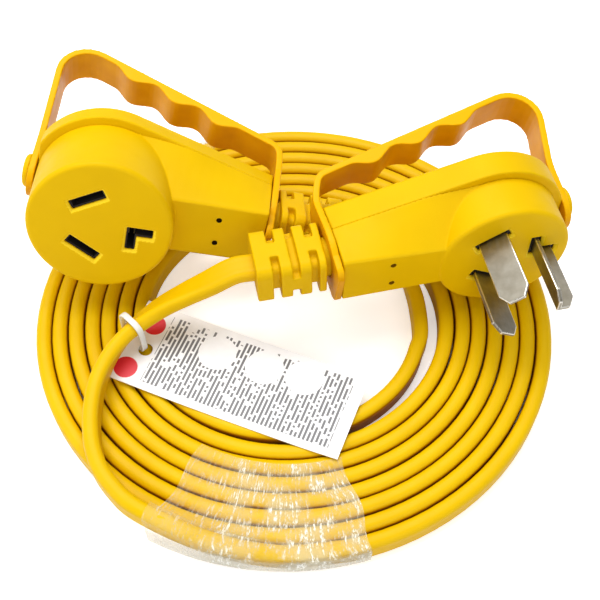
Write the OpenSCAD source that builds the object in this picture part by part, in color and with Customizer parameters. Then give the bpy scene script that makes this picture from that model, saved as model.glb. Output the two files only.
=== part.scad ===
// Shore power extension cord, put away.  A flat three-core cable is wound on edge into a
// one-layer coil.  One end carries a blade plug, the other a matching connector, and each has
// a swinging pull handle.  The coil lies on the plane z = 0, x to the right, y to the back.
// Each end housing is drawn in its own frame first: +X towards its cable, +Z out of its face.

/* [Cable] */
// Width of the flat cable, which stands upright in the coil
cable_w = 12.5; // [11:0.5:14]
// Thickness of the flat cable
cable_t = 6.8; // [6:0.1:7.2]

/* [Coil] */
// Radius of the outermost turn at the right, to the middle of the cable
coil_r = 113.4; // [105:0.2:125]
// Distance from one turn to the next
turn_pitch = 7.3; // [7.25:0.05:7.8]
// How much longer than round the coil is from left to right
coil_oval = 2.1; // [0:0.1:4]
// Extra room inside the innermost, loose turn
inner_slack = 4.5; // [0:0.5:6]
// X of the coil's middle
coil_x = -3.1; // [-10:0.1:10]
// Y of the coil's middle
coil_y = 2.0; // [-10:0.1:10]

/* [Plug housing] */
// Diameter of the plug's round face
plug_face_d = 57.8; // [56:0.5:64]
// Height of the face above the front of the body
plug_boss_h = 0.8; // [0.5:0.1:3]
// Depth of the housing from face to back
plug_depth = 33.8; // [32:0.2:40]
// Depth of the back shell, from the seam to its back
plug_back_t = 14.6; // [13:0.2:16]
// Distance from the middle of the face to the tail
plug_tail_x = 71.4; // [66:0.2:80]
// Width of the tail
plug_tail_w = 25.6; // [25:0.2:30]
// Width of the front of the body beside the face
plug_neck_w = 21.4; // [20:0.2:28]
// How far the flat under the handle's eye cuts into the round nose
plug_nose_cut = 1.6; // [1:0.1:2.5]
// Distance of the rivet in front of the back of the housing
plug_rivet_back = 9.5; // [9:0.1:10.5]

/* [Connector housing] */
// Diameter of the connector's round face
socket_face_d = 62.2; // [60:0.2:68]
// Height of the face above the front of the body
socket_boss_h = 10; // [6:0.2:12]
// Depth of the housing from face to back
socket_depth = 44.4; // [44:0.2:50]
// Depth of the back shell, from the seam to its back
socket_back_t = 11.2; // [10.8:0.2:13]
// Distance from the middle of the face to the tail
socket_tail_x = 72.6; // [70:0.2:82]
// Width of the tail
socket_tail_w = 26.8; // [25:0.2:32]
// Width of the front of the body beside the face
socket_neck_w = 27.6; // [24:0.2:30]
// How far the flat under the handle's eye cuts into the round nose
socket_nose_cut = 4.4; // [3.4:0.1:4.8]
// Distance of the rivet in front of the back of the housing
socket_rivet_back = 8; // [7.6:0.1:8.2]

/* [Shells] */
// Wall thickness of the shells
wall = 2.6; // [2:0.1:3.2]
// Thickness of the face that covers the carrier
face_wall = 2.2; // [1.4:0.1:2.6]
// Ledge between the back shell's nose and the round face part
nose_step = 3.6; // [2.5:0.1:5]
// Radius of the rounded rim of the face
rim_r = 2; // [1:0.1:3]
// Diameter of the two small locating holes in the front
pin_hole_d = 2.2; // [1.5:0.1:3]
// Depth of the two small locating holes
pin_hole_depth = 1.6; // [1:0.1:1.9]
// Distance between the two small locating holes
pin_hole_gap = 12; // [8:0.5:13]
// Distance from the tail to the two small locating holes
pin_hole_back = 22.5; // [18:0.5:30]

/* [Blades] */
// Width of the flat blades
blade_w = 13; // [12:0.5:15]
// Thickness of the blades
blade_t = 1.8; // [1.5:0.1:2.2]
// Length of the blades in front of the face
blade_len = 30.8; // [20:0.2:32]
// Distance of the two line slots' middles from the middle of the face, towards the tail
slot_x = 6.4; // [5:0.1:8]
// Distance of the two line slots' middles from the centre line
slot_y = 12.2; // [11.5:0.1:13.5]
// Angle of the two line slots to the centre line
slot_angle = 30; // [25:1:35]
// Length of the slots in the black carrier
slot_len = 15.6; // [15:0.1:17]
// Width of the slots in the black carrier
slot_w = 4.3; // [4:0.1:5]
// Distance of the L slot's corner from the middle of the face
ell_x = 11.3; // [11:0.1:13]
// How far the L slot's corner lies past the centre line
ell_y = 1.5; // [0:0.1:2]
// Length of each leg of the L slot
ell_leg = 11.2; // [10.5:0.1:12]
// Slope of the lips around the slots, as extra width at the face
lip = 1.1; // [0.6:0.1:1.4]

/* [Carriers and contacts] */
// Depth of the plug's black blade carrier
carrier_depth = 9; // [7:0.5:11]
// Depth of the connector's black contact carrier
socket_carrier_depth = 22; // [19:0.5:24]
// Sheet thickness of the contact springs
contact_t = 0.8; // [0.6:0.1:1]
// Clearance of the carriers and contacts inside what holds them
fit_gap = 0.2; // [0.1:0.05:0.4]
// Diameter of each insulated wire inside the housings
wire_d = 3.4; // [2.8:0.1:3.6]
// Diameter of the crimp barrels
crimp_d = 4.8; // [4:0.1:5]

/* [Strain relief] */
// Width of the strain relief along the face direction
relief_w = 25.4; // [22:0.2:28]
// Height of the strain relief
relief_h = 20.8; // [19:0.2:22]
// Depth of the slots between the ribs
relief_slot = 3.6; // [2.5:0.1:4]
// Thickness of the ring next to the handle
ring_t = 3; // [2.4:0.1:4]
// Thickness of each rib
rib_t = 4.8; // [4:0.1:5]
// Width of the gaps between the ribs
rib_gap = 3.4; // [3:0.1:4]
// Thickness of the block at the cable end
end_block_t = 6.8; // [5:0.1:8]
// Width of the bridges across the slots
bridge_w = 7.5; // [6:0.5:9]
// Diameter of the round neck that the handle swings on
neck_d = 16.8; // [16.5:0.1:18]
// Distance of the neck's axis in front of the back of the housing
neck_back = 17.5; // [17:0.1:18]

/* [Handle] */
// Thickness of the handle strap
strap_t = 3; // [2.4:0.1:3.4]
// Width of the handle's bar
strap_w = 18; // [14:0.5:19]
// Distance from the swing axis to the middle of the strap at its tail corner
handle_tail = 34.8; // [33:0.2:44]
// Distance from the swing axis to the nose corner of the plug's handle
plug_handle_nose = 59.4; // [56:0.2:72]
// How far the nose corner of the plug's handle stands out past its eye
plug_nose_lean = 8.8; // [1:0.2:14]
// How far the tail corner of the plug's handle leans in over the housing
plug_tail_lean = 4.4; // [1:0.2:8]
// Distance from the swing axis to the nose corner of the connector's handle
socket_handle_nose = 72.4; // [60:0.2:76]
// How far the nose corner of the connector's handle stands out past its eye
socket_nose_lean = 1.6; // [1:0.2:14]
// How far the tail corner of the connector's handle leans in over the housing
socket_tail_lean = 1; // [1:0.2:8]
// Radius of the rounded plate around the neck
plate_r = 15; // [14:0.5:17]
// How far the plate reaches past the neck's axis towards the face
plate_front = 17; // [15:0.5:19]
// Height of the three finger bumps
bump_h = 4; // [2:0.1:5]
// Distance between the finger bumps
bump_pitch = 22.5; // [18:0.5:23]
// Diameter of the rivet's shank
rivet_d = 5; // [4:0.1:6]
// Diameter of the rivet's round head
rivet_head_d = 15; // [12:0.5:16]
// Running clearance of the handle
run_gap = 0.3; // [0.2:0.05:0.5]

/* [Handle swing at rest] */
// Angle of the plug's handle, up from straight back
plug_swing = 13; // [-5:1:30]
// Angle of the connector's handle, up from straight back
socket_swing = 25; // [0:1:30]

/* [Label] */
// Width of the paper tag
tag_w = 42; // [30:1:60]
// Length of the paper tag
tag_len = 107; // [80:1:120]
// Thickness of the paper tag
tag_t = 0.5; // [0.3:0.1:1]
// Width of the cable tie
tie_w = 2.6; // [2:0.1:4]
// Thickness of the cable tie
tie_t = 1.1; // [0.8:0.1:1.6]

/* [Tape] */
// Thickness of the clear film
film_t = 0.3; // [0.2:0.05:0.5]

/* [Hidden] */
$fn = 64;
tiny = 0.01;
big = 60;

body_yellow = "#f4c808";
handle_yellow = "#f6ae16";
carrier_black = "#1c1a1c";
nickel = "#b9b7ae";
wire_red = "#a8281e";
wire_white = "#e8e6e0";

// Where each housing lies: the middle of its face, and its turn about x, y and z.
plug_at = [89.1, 5.7, 48];
plug_turn = [-87.9, 0, -168.8];
socket_at = [-83.1, 13.3, 59.2];
socket_turn = [71.4, 13.2, -0.5];

// One housing's sizes in a list, in this order.
FACE_R = 0;
BOSS = 1;
DEPTH = 2;
SEAM = 3;
TAIL_X = 4;
TAIL_W = 5;
NECK_W = 6;
NOSE_X = 7;
RIVET_BACK = 8;
HANDLE_NOSE = 9;
LEAN = 10;
TAIL_LEAN = 11;
plug = [
    plug_face_d / 2, plug_boss_h, plug_depth, plug_depth - plug_back_t, plug_tail_x, plug_tail_w,
    plug_neck_w, plug_face_d / 2 + nose_step - plug_nose_cut, plug_rivet_back,
    plug_handle_nose, plug_nose_lean, plug_tail_lean
];
socket = [
    socket_face_d / 2, socket_boss_h, socket_depth, socket_depth - socket_back_t, socket_tail_x,
    socket_tail_w, socket_neck_w, socket_face_d / 2 + nose_step - socket_nose_cut,
    socket_rivet_back, socket_handle_nose, socket_nose_lean, socket_tail_lean
];

// The swing axis runs from the rivet at the nose to the neck at the tail.
back_chamfer = 2.4;
function nose_r(h) = h[FACE_R] + nose_step;
function neck_z(h) = neck_back - h[DEPTH];
function rivet_z(h) = h[RIVET_BACK] - h[DEPTH];
function axis_run(h) = h[TAIL_X] + h[NOSE_X];
function axis_drop(h) = neck_z(h) - rivet_z(h);
function axis_len(h) = sqrt(pow(axis_run(h), 2) + pow(axis_drop(h), 2));
function axis_tilt(h) = atan2(axis_drop(h), axis_run(h));

// Lengths along the strain relief, from the tail of the housing.
relief_start = strap_t + run_gap + 1.9;
relief_len = relief_start + ring_t + 2 * rib_t + 3 * rib_gap + end_block_t;
flange_t = 2.6;
flange_d = neck_d + 2;

// ---- small helpers -------------------------------------------------------------------------
function unit(v) = v / norm(v);
function clamp01(u) = min(1, max(0, u));
function smooth(u) = let (c = clamp01(u)) c * c * (3 - 2 * c);
function heading(a) = [cos(a), sin(a)];
function left_of(a) = [-sin(a), cos(a)];

// A point turned by [a, b, c] about x, y and z, in that order.
function turn_x(p, a) = [p.x, p.y * cos(a) - p.z * sin(a), p.y * sin(a) + p.z * cos(a)];
function turn_y(p, a) = [p.x * cos(a) + p.z * sin(a), p.y, p.z * cos(a) - p.x * sin(a)];
function turn_z(p, a) = [p.x * cos(a) - p.y * sin(a), p.x * sin(a) + p.y * cos(a), p.z];
function turned(p, t) = turn_z(turn_y(turn_x(p, t.x), t.y), t.z);

// A rectangle with rounded corners.
module round_rect(w, h, r) {
    square([w - 2 * r, h], center = true);
    square([w, h - 2 * r], center = true);
    for (x = [-1, 1], y = [-1, 1])
        translate([x * (w / 2 - r), y * (h / 2 - r)])
            circle(r, $fn = 32);
}

// An extrusion along +X of a flat shape drawn in Y and Z.
module along_x(x, len) {
    translate([x, 0, 0])
        rotate([90, 0, 90])
            linear_extrude(len)
                children();
}

// A straight round rod from p to q.
module rod(p, q, d) {
    v = q - p;
    translate(p)
        rotate([0, acos(v.z / norm(v)), atan2(v.y, v.x)])
            cylinder(h = norm(v), d = d, $fn = 24);
}

module at_plug() {
    translate(plug_at)
        rotate(plug_turn)
            children();
}

module at_socket() {
    translate(socket_at)
        rotate(socket_turn)
            children();
}

// The frame of the swing axis: its origin is where the axis leaves the tail.
module on_axis(h) {
    translate([h[TAIL_X], 0, neck_z(h)])
        rotate([0, -axis_tilt(h), 0])
            children();
}

// All that lies beyond x in the frame of the swing axis.
module beyond(h, x) {
    on_axis(h)
        translate([x, -big, -big])
            cube(2 * big);
}

// The flat on the nose: all that lies beyond it, under the handle's eye.
module nose_cut(h) {
    on_axis(h)
        translate([-axis_len(h) - 2 * big, -big, -big])
            cube(2 * big);
}

// ---- housing shells ------------------------------------------------------------------------
body_edge = 0.9;
side_blend = 30;

// Angle at which a line from the point (x, y) touches a circle of radius r.
function touch_angle(r, x, y) = atan2(y, x) + acos(r / norm([x, y]));

// The plan of a housing: a round nose with straight sides that run in to the tail.
module plan(r, tail_x, tail_w) {
    a = touch_angle(r, tail_x, tail_w / 2);
    circle(r);
    polygon([
        [0, 0], r * heading(-a), [tail_x, -tail_w / 2], [tail_x, tail_w / 2], r * heading(a)
    ]);
}

// The plan drawn out past the tail; the swing frame's plane cuts it off square.
function long_x(h) = h[TAIL_X] + 4;

// Half the front shell's width at its seam, x from the middle of the face: the back shell's
// straight side, drawn in to the round face part as it nears it.
function seam_half(h, x) =
    let (
        r = h[FACE_R],
        a = touch_angle(r, long_x(h), h[TAIL_W] / 2),
        b = touch_angle(nose_r(h), long_x(h), h[TAIL_W] / 2),
        own = (r - x * cos(a)) / sin(a),
        back = (nose_r(h) - x * cos(b)) / sin(b)
    )
    own + (back - own) * smooth((x - r * cos(a)) / side_blend);

// Where the straight side leaves the round face part.
function side_start(h) = h[FACE_R] * cos(touch_angle(h[FACE_R], long_x(h), h[TAIL_W] / 2));

// A section of the front body across x, from its seam over the flat front to its seam.
function body_section(h, inset, x) =
    let (
        near = x < side_start(h) ? sqrt(pow(h[FACE_R], 2) - x * x) - 2 : seam_half(h, x),
        w = near - inset,
        t = (h[NECK_W] + (h[TAIL_W] - h[NECK_W]) * x / long_x(h)) / 2 - inset,
        low = -h[SEAM] - (inset > 0 ? 1 : 0),
        top = -h[BOSS] - inset
    )
    [
        [x, -w, low], [x, -t, top - body_edge], [x, body_edge - t, top],
        [x, t - body_edge, top], [x, t, top - body_edge], [x, w, low]
    ];

// The sloping body behind the round face; inset draws it smaller, for the hollow inside.
module front_body(h, inset) {
    n = 14;
    start = side_start(h);
    sections = [
        body_section(h, inset, start - 6),
        for (i = [0:n]) body_section(h, inset, start + 2 + (long_x(h) - start - 2) * i / n)
    ];
    polyhedron(
        points = [for (s = sections) each s],
        faces = [
            [for (j = [5:-1:0]) j],
            [for (j = [0:5]) (n + 1) * 6 + j],
            for (i = [0:n], j = [0:5]) let (k = (j + 1) % 6)
                each [
                    [i * 6 + j, i * 6 + k, (i + 1) * 6 + k],
                    [i * 6 + j, (i + 1) * 6 + k, (i + 1) * 6 + j]
                ]
        ]
    );
}

// The round face part, with its rounded rim.
module face_disc(h) {
    r = h[FACE_R];
    rotate_extrude($fn = 96) {
        translate([0, -h[SEAM]])
            square([r, h[SEAM] - rim_r]);
        translate([0, -rim_r])
            square([r - rim_r, rim_r]);
        translate([r - rim_r, -rim_r])
            intersection() {
                circle(rim_r, $fn = 32);
                square(rim_r);
            }
    }
}

// A rectangular hole through the face from corner p to corner q, with sloping lips.
module lipped_hole(p, q) {
    translate([p.x, p.y, -face_wall - 1])
        cube([q.x - p.x, q.y - p.y, face_wall + 2]);
    hull() {
        translate([p.x, p.y, -0.6 * face_wall])
            cube([q.x - p.x, q.y - p.y, tiny]);
        translate([p.x - lip, p.y - lip, 0])
            cube([q.x - p.x + 2 * lip, q.y - p.y + 2 * lip, tiny]);
    }
}

// Puts what is drawn about the middle of a line slot in its place.  way is +1 in the plug
// and -1 in the connector, and side is +1 or -1.
module at_line_slot(way, side) {
    translate([way * slot_x, side * slot_y, 0])
        rotate(-way * side * slot_angle)
            children();
}

// Draws the L on the connector's side, or mirrored on the plug's.
module at_ell(way) {
    mirror([way > 0 ? 1 : 0, 0, 0])
        children();
}

// Plan of the L: a band of width w along the middle of the L slot.
module ell(w, ends) {
    s = (slot_w - w) / 2;
    x = ell_x + s;
    y = ell_y - s;
    far = ell_leg + ends;
    polygon([
        [x, y], [ell_x + far, y], [ell_x + far, y - w], [x + w, y - w],
        [x + w, ell_y - far], [x, ell_y - far]
    ]);
}

module face_slots(way) {
    for (side = [-1, 1])
        at_line_slot(way, side)
            lipped_hole([-slot_len / 2, -slot_w / 2], [slot_len / 2, slot_w / 2]);
    at_ell(way) {
        lipped_hole([ell_x, ell_y - slot_w], [ell_x + ell_leg, ell_y]);
        lipped_hole([ell_x, ell_y - ell_leg], [ell_x + slot_w, ell_y]);
    }
}

// The hollow shared by both shells' inside, from the face's back to the seam and beyond.
module front_hollow(h) {
    translate([0, 0, -h[SEAM] - 1])
        cylinder(r = h[FACE_R] - wall, h = h[SEAM] + 1 - face_wall, $fn = 96);
    front_body(h, wall);
}

// The neck's passage through a tail wall; low is how far it stays open below the axis.
module neck_passage(h, low) {
    on_axis(h)
        translate([-10, 0, 0]) {
            rotate([0, 90, 0])
                cylinder(d = neck_d, h = 20);
            if (low > 0)
                translate([0, -neck_d / 2, -low])
                    cube([20, neck_d, low]);
        }
}

module front_shell(h, way) {
    difference() {
        union() {
            face_disc(h);
            front_body(h, 0);
        }
        difference() {
            front_hollow(h);
            beyond(h, -wall);
        }
        face_slots(way);
        for (side = [-1, 1])
            translate([h[TAIL_X] - pin_hole_back, side * pin_hole_gap / 2,
                       -h[BOSS] - pin_hole_depth])
                cylinder(d = pin_hole_d, h = 10, $fn = 24);
        beyond(h, 0);
        nose_cut(h);
        neck_passage(h, 12);
    }
}

// The solid shape of the back shell: a round nose and straight sides, chamfered at the back.
module rear_body(h) {
    r = nose_r(h);
    depth = h[DEPTH] - h[SEAM];
    a = touch_angle(r, long_x(h), h[TAIL_W] / 2);
    c = back_chamfer;
    translate([0, 0, -h[DEPTH]]) {
        cylinder(r1 = r - c, r2 = r, h = c, $fn = 96);
        translate([0, 0, c])
            cylinder(r = r, h = depth - c, $fn = 96);
        difference() {
            linear_extrude(depth)
                polygon([
                    [0, 0], r * heading(-a), [long_x(h), -h[TAIL_W] / 2],
                    [long_x(h), h[TAIL_W] / 2], r * heading(a)
                ]);
            for (m = [0, 1])
                mirror([0, m, 0])
                    translate([r * cos(a), r * sin(a), 0])
                        rotate([90, 0, a])
                            translate([0, 0, -1])
                                linear_extrude(big * 2)
                                    polygon([[-c - 1, -1], [1, -1], [1, c + 1]]);
        }
    }
}

module rear_shell(h) {
    difference() {
        rear_body(h);
        difference() {
            translate([0, 0, wall - h[DEPTH]])
                linear_extrude(h[DEPTH])
                    plan(h[FACE_R] - wall, long_x(h), h[TAIL_W] - 2 * wall, $fn = 96);
            beyond(h, -wall);
        }
        beyond(h, 0);
        nose_cut(h);
        neck_passage(h, 0);
        on_axis(h)
            translate([-axis_len(h) - 1, 0, 0])
                rotate([0, 90, 0])
                    cylinder(d = rivet_d, h = 1 + rivet_grip);
    }
}

// ---- carriers, blades and contacts ---------------------------------------------------------
rivet_grip = 3.4;
blade_back = face_wall + carrier_depth + 2;
socket_back = face_wall + socket_carrier_depth;
leaf_len = 12;
terminal_t = 1.2;
terminal_w = 4.6;
crimp_x = 26;
crimp_len = 10;
crimp_y = 6.2;
function crimp_z(back) = -back - crimp_d / 2 - 0.3;

// A flat blade with tapered corners at its tip.
module line_blade(side) {
    cut = 3;
    at_line_slot(1, side)
        rotate([90, 0, 0])
            linear_extrude(blade_t, center = true)
                polygon([
                    [-blade_w / 2, -blade_back], [blade_w / 2, -blade_back],
                    [blade_w / 2, blade_len - 1.6 * cut], [blade_w / 2 - cut, blade_len],
                    [cut - blade_w / 2, blade_len], [-blade_w / 2, blade_len - 1.6 * cut]
                ]);
}

// The neutral blade is an L in section, with its two outer edges tapered at the tip.
module neutral_blade() {
    cut = 3;
    ends = -(slot_w - blade_t) / 2;
    far = ell_leg + ends;
    at_ell(1)
        difference() {
            translate([0, 0, -blade_back])
                linear_extrude(blade_back + blade_len)
                    ell(blade_t, ends);
            translate([ell_x + far, 0, blade_len])
                rotate([90, 0, 0])
                    linear_extrude(big, center = true)
                        polygon([[-cut, 0], [-cut, 1], [1, 1], [1, -1.6 * (cut + 1)], [0, -1.6 * cut]]);
            translate([0, ell_y - far, blade_len])
                rotate([90, 0, 90])
                    linear_extrude(big, center = true)
                        polygon([[cut, 0], [cut, 1], [-1, 1], [-1, -1.6 * (cut + 1)], [0, -1.6 * cut]]);
        }
}

// The black insert behind a face.
module carrier(h, depth) {
    translate([0, 0, -face_wall - depth])
        cylinder(r = h[FACE_R] - wall - fit_gap, h = depth, $fn = 96);
}

module blade_carrier() {
    difference() {
        carrier(plug, carrier_depth);
        line_blade(-1);
        line_blade(1);
        neutral_blade();
    }
}

// A blade's way in, and the wider room behind it for the contact spring.
module contact_carrier() {
    way_in = blade_t + 1.2;
    room = blade_t + 2 * contact_t + 2 * fit_gap;
    difference() {
        carrier(socket, socket_carrier_depth);
        for (side = [-1, 1])
            at_line_slot(-1, side) {
                translate([-blade_w / 2 - 0.6, -way_in / 2, -socket_back - 1])
                    cube([blade_w + 1.2, way_in, socket_back + 2]);
                translate([-blade_w / 2 - fit_gap, -room / 2, -socket_back - 1])
                    cube([blade_w + 2 * fit_gap, room, leaf_len + 2]);
            }
        translate([0, 0, -socket_back - 1])
            linear_extrude(socket_back + 2)
                ell(way_in, 0);
        translate([0, 0, -socket_back - 1])
            linear_extrude(leaf_len + 2)
                ell(room, 0);
    }
}

// A contact: two spring leaves that grip a blade, joined by a plate behind the carrier.
module line_contact(side) {
    at_line_slot(-1, side) {
        for (m = [-1, 1])
            translate([-blade_w / 2, m * (blade_t + contact_t) / 2 - contact_t / 2, -socket_back])
                cube([blade_w, contact_t, leaf_len]);
        translate([-blade_w / 2, -blade_t / 2 - contact_t, -socket_back - contact_t])
            cube([blade_w, blade_t + 2 * contact_t, contact_t]);
    }
}

module neutral_contact() {
    grip = blade_t + 2 * contact_t;
    translate([0, 0, -socket_back])
        linear_extrude(leaf_len)
            difference() {
                ell(grip, -1);
                ell(blade_t, 1);
            }
    translate([0, 0, -socket_back - contact_t])
        linear_extrude(contact_t)
            ell(grip, -1);
}

// A terminal: a strip from under a blade or contact to the barrel that grips its wire.
module terminal(from, y, back) {
    to = [crimp_x + 1, y];
    v = to - from;
    translate([from.x, from.y, -back - terminal_t])
        rotate(atan2(v.y, v.x))
            translate([-terminal_w / 2, -terminal_w / 2, 0])
                cube([norm(v) + terminal_w, terminal_w, terminal_t]);
    translate([crimp_x, y, crimp_z(back)])
        rotate([0, 90, 0])
            cylinder(d = crimp_d, h = crimp_len, $fn = 32);
}

module terminals(way, back) {
    for (side = [-1, 1])
        terminal([way * slot_x, side * slot_y], side * crimp_y, back);
    terminal([-way * (ell_x + ell_leg / 2), ell_y - slot_w / 2], 0, back);
}

// An insulated wire from its crimp to the flange of the strain relief.
module wire(h, y, back) {
    z = crimp_z(back);
    start = crimp_x + crimp_len;
    end_y = sign(y) * (wire_d + 0.3);
    a = [start, y, z];
    b = [h[TAIL_X] - wall - flange_t, end_y, neck_z(h)];
    way = unit(b - a);
    difference() {
        rod(a - 2 * way, b + 2 * way, wire_d);
        translate([start - big, -big, -big])
            cube([big, 2 * big, 2 * big]);
        beyond(h, -wall - flange_t);
    }
}

module line_wires(h, back) {
    for (side = [-1, 1])
        wire(h, side * crimp_y, back);
}

// ---- strain relief and handle --------------------------------------------------------------
// The slot behind rib k, with bridges left on two opposite sides.
module relief_gap(x, k) {
    core_w = relief_w - 2 * relief_slot;
    core_h = relief_h - 2 * relief_slot;
    along_x(x, rib_gap)
        difference() {
            square(2 * relief_w, center = true);
            round_rect(core_h, core_w, 2.5);
            square(k == 1 ? [bridge_w, 2 * relief_w] : [2 * relief_w, bridge_w], center = true);
        }
}

module strain_relief(h) {
    first = h[TAIL_X] + relief_start + ring_t;
    difference() {
        union() {
            on_axis(h)
                rotate([0, 90, 0]) {
                    translate([0, 0, -wall - flange_t])
                        cylinder(d = flange_d, h = flange_t);
                    translate([0, 0, -wall - 1])
                        cylinder(d = neck_d, h = wall + 1 + relief_start + 1.5);
                }
            translate([0, 0, neck_z(h)])
                along_x(h[TAIL_X] + relief_start, relief_len - relief_start)
                    round_rect(relief_h, relief_w, 4);
        }
        for (k = [0:2])
            translate([0, 0, neck_z(h)])
                relief_gap(first + k * (rib_gap + rib_t), k);
    }
}

// A bend of the strap's middle line at corner q, from heading g to heading k.  Each entry
// is a point and the strap's heading there.
function bend(q, g, k, radius, n = 8) =
    let (way = k > g ? 1 : -1,
         start = q - heading(g) * radius * tan(abs(k - g) / 2),
         centre = start + left_of(g) * radius * way)
    [for (i = [0:n]) let (a = g + (k - g) * i / n) [centre - left_of(a) * radius * way, a]];

// The strap's middle line, seen from its side: down the tail plate, forward along the bar
// and up to the eye on the rivet.  Each entry is a point, a heading and a bump height.
function strap_line(h) =
    let (tail = run_gap + strap_t / 2,
         eye = -axis_len(h) - run_gap - strap_t / 2,
         lug = [tail, -plate_end],
         b = [tail - h[TAIL_LEAN], -handle_tail],
         c = [eye - h[LEAN], -h[HANDLE_NOSE]],
         d = [eye, -16],
         leg = atan2(b.y - lug.y, b.x - lug.x),
         bar = atan2(c.y - b.y, c.x - b.x),
         up = atan2(d.y - c.y, d.x - c.x) - 360,
         knee = bend(lug, -90, leg, 20, 3),
         first = bend(b, leg, bar, tail_bend),
         second = bend(c, bar, up, nose_bend),
         third = bend(d, up, -270, 40, 4),
         from = first[len(first) - 1][0],
         to = second[0][0],
         run = norm(to - from),
         mid = (from.x - bump_centre) / (from.x - to.x) * run)
    concat(
        [[[tail, plate_front], -90, 0]],
        [for (p = knee) [p[0], p[1], 0]],
        [for (p = first) [p[0], p[1], 0]],
        [for (i = [1:bar_steps - 1])
            let (s = run * i / bar_steps, u = (s - mid) / bump_pitch)
            [from + heading(bar) * s, bar, abs(u) < 1.5 ? bump_h * pow(cos(180 * u), 2) : 0]],
        [for (p = second) [p[0], p[1], 0]],
        [for (p = third) [p[0], p[1], 0]],
        [[[eye, eye_front], -270, 0]]
    );
plate_end = 24;
tail_bend = 6.5;
nose_bend = 13.5;
bar_steps = 48;
bump_centre = -50;
eye_front = 11.5;

// The strap from its side: a band of even thickness with finger bumps on its inside.
module strap_side(h) {
    line = strap_line(h);
    last = len(line) - 1;
    polygon(concat(
        [for (p = line) p[0] + left_of(p[1]) * strap_t / 2],
        [for (i = [last:-1:0]) line[i][0] - left_of(line[i][1]) * (strap_t / 2 + line[i][2])]
    ));
}

// The strap from its end: a round plate at the tail, narrowing to the bar.
module strap_widths(h) {
    split = -18;
    far = h[HANDLE_NOSE] + 20;
    along_x(split, 40) {
        circle(plate_r, $fn = 96);
        translate([0, plate_front / 2])
            round_rect(1.8 * plate_r, plate_front, 5);
        polygon([
            [-plate_r, 0], [plate_r, 0], [plate_r * 0.94, -6], [strap_w / 2, -22],
            [strap_w / 2, -far], [-strap_w / 2, -far], [-strap_w / 2, -22], [-plate_r * 0.94, -6]
        ]);
    }
    along_x(-axis_len(h) - 40, axis_len(h) + 40 + split) {
        translate([0, eye_front - strap_w / 2])
            circle(d = strap_w);
        translate([-strap_w / 2, -far])
            square([strap_w, far + eye_front - strap_w / 2]);
    }
}

module handle(h, swing) {
    on_axis(h)
        rotate([swing, 0, 0])
            difference() {
                intersection() {
                    rotate([90, 0, 0])
                        linear_extrude(2 * plate_r + 2, center = true)
                            strap_side(h);
                    strap_widths(h);
                }
                translate([-10, 0, 0])
                    rotate([0, 90, 0])
                        cylinder(d = neck_d + 2 * run_gap, h = 20);
                translate([-axis_len(h) - strap_t - 5, 0, 0])
                    rotate([0, 90, 0])
                        cylinder(d = rivet_d + 2 * run_gap, h = 8);
            }
}

// A button-headed rivet through the handle's eye into the nose of the housing.
module handle_rivet(h) {
    head_t = 2.6;
    soft = 1.8;
    on_axis(h)
        translate([-axis_len(h) - strap_t - 2 * run_gap - head_t, 0, 0])
            rotate([0, 90, 0]) {
                rotate_extrude() {
                    translate([0, soft])
                        square([rivet_head_d / 2, head_t - soft]);
                    square([rivet_head_d / 2 - soft, head_t]);
                    translate([rivet_head_d / 2 - soft, soft])
                        intersection() {
                            circle(soft, $fn = 32);
                            translate([0, -soft])
                                square(soft);
                        }
                }
                cylinder(d = rivet_d, h = head_t + strap_t + 2 * run_gap + rivet_grip);
            }
}

// ---- cable ---------------------------------------------------------------------------------
// The coil: its radius falls by one pitch for each turn inwards; a counts turns clockwise.
rings_per_turn = 24;
coil_rings = 172;
coil_start = -6.95;
coil_end = coil_start + coil_rings / rings_per_turn;
function slack(a) = inner_slack * pow(1 - clamp01((a - coil_start) / 0.45), 2);
function coil_radius(a) = coil_r + turn_pitch * a + coil_oval * cos(720 * a) - slack(a);
function coil_point(a, z = cable_w / 2) = [
    coil_x + coil_radius(a) * cos(360 * a), coil_y - coil_radius(a) * sin(360 * a), z
];
coil_path = [for (i = [0:coil_rings]) coil_point(coil_start + i / rings_per_turn)];

// Cable sections: x runs across the cable and y along its width.
coil_section = [
    [-0.3 * cable_t, -cable_w / 2], [0.3 * cable_t, -cable_w / 2], [cable_t / 2, 0],
    [0.3 * cable_t, cable_w / 2], [-0.3 * cable_t, cable_w / 2], [-cable_t / 2, 0]
];
lead_section = [
    [-0.26 * cable_t, -cable_w / 2], [0.26 * cable_t, -cable_w / 2],
    [cable_t / 2, -0.34 * cable_w], [cable_t / 2, 0.34 * cable_w],
    [0.26 * cable_t, cable_w / 2], [-0.26 * cable_t, cable_w / 2],
    [-cable_t / 2, 0.34 * cable_w], [-cable_t / 2, -0.34 * cable_w]
];

function along(path, i) = unit(path[min(i + 1, len(path) - 1)] - path[max(i - 1, 0)]);
// One ring of the swept cable; roll turns its width from upright towards flat.
function ring(path, i, section, roll) =
    let (t = along(path, i),
         side = unit(cross(t, [0, 0, 1])),
         up = cross(side, t),
         across = side * cos(roll) - up * sin(roll),
         wide = up * cos(roll) + side * sin(roll))
    [for (s = section) path[i] + across * s.x + wide * s.y];

// A closed tube through the path; rolls gives the roll of each ring.
module cable_tube(path, section, rolls) {
    n = len(section);
    last = len(path) - 1;
    points = [for (i = [0:last]) each ring(path, i, section, rolls[i])];
    sides = [
        for (i = [0:last - 1], k = [0:n - 1])
            let (a = i * n + k, b = i * n + (k + 1) % n)
            each [[a, b, b + n], [a, b + n, a + n]]
    ];
    caps = [
        for (k = [1:n - 2])
            each [[0, k + 1, k], [last * n, last * n + k, last * n + k + 1]]
    ];
    polyhedron(points = points, faces = concat(sides, caps), convexity = 10);
}

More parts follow.
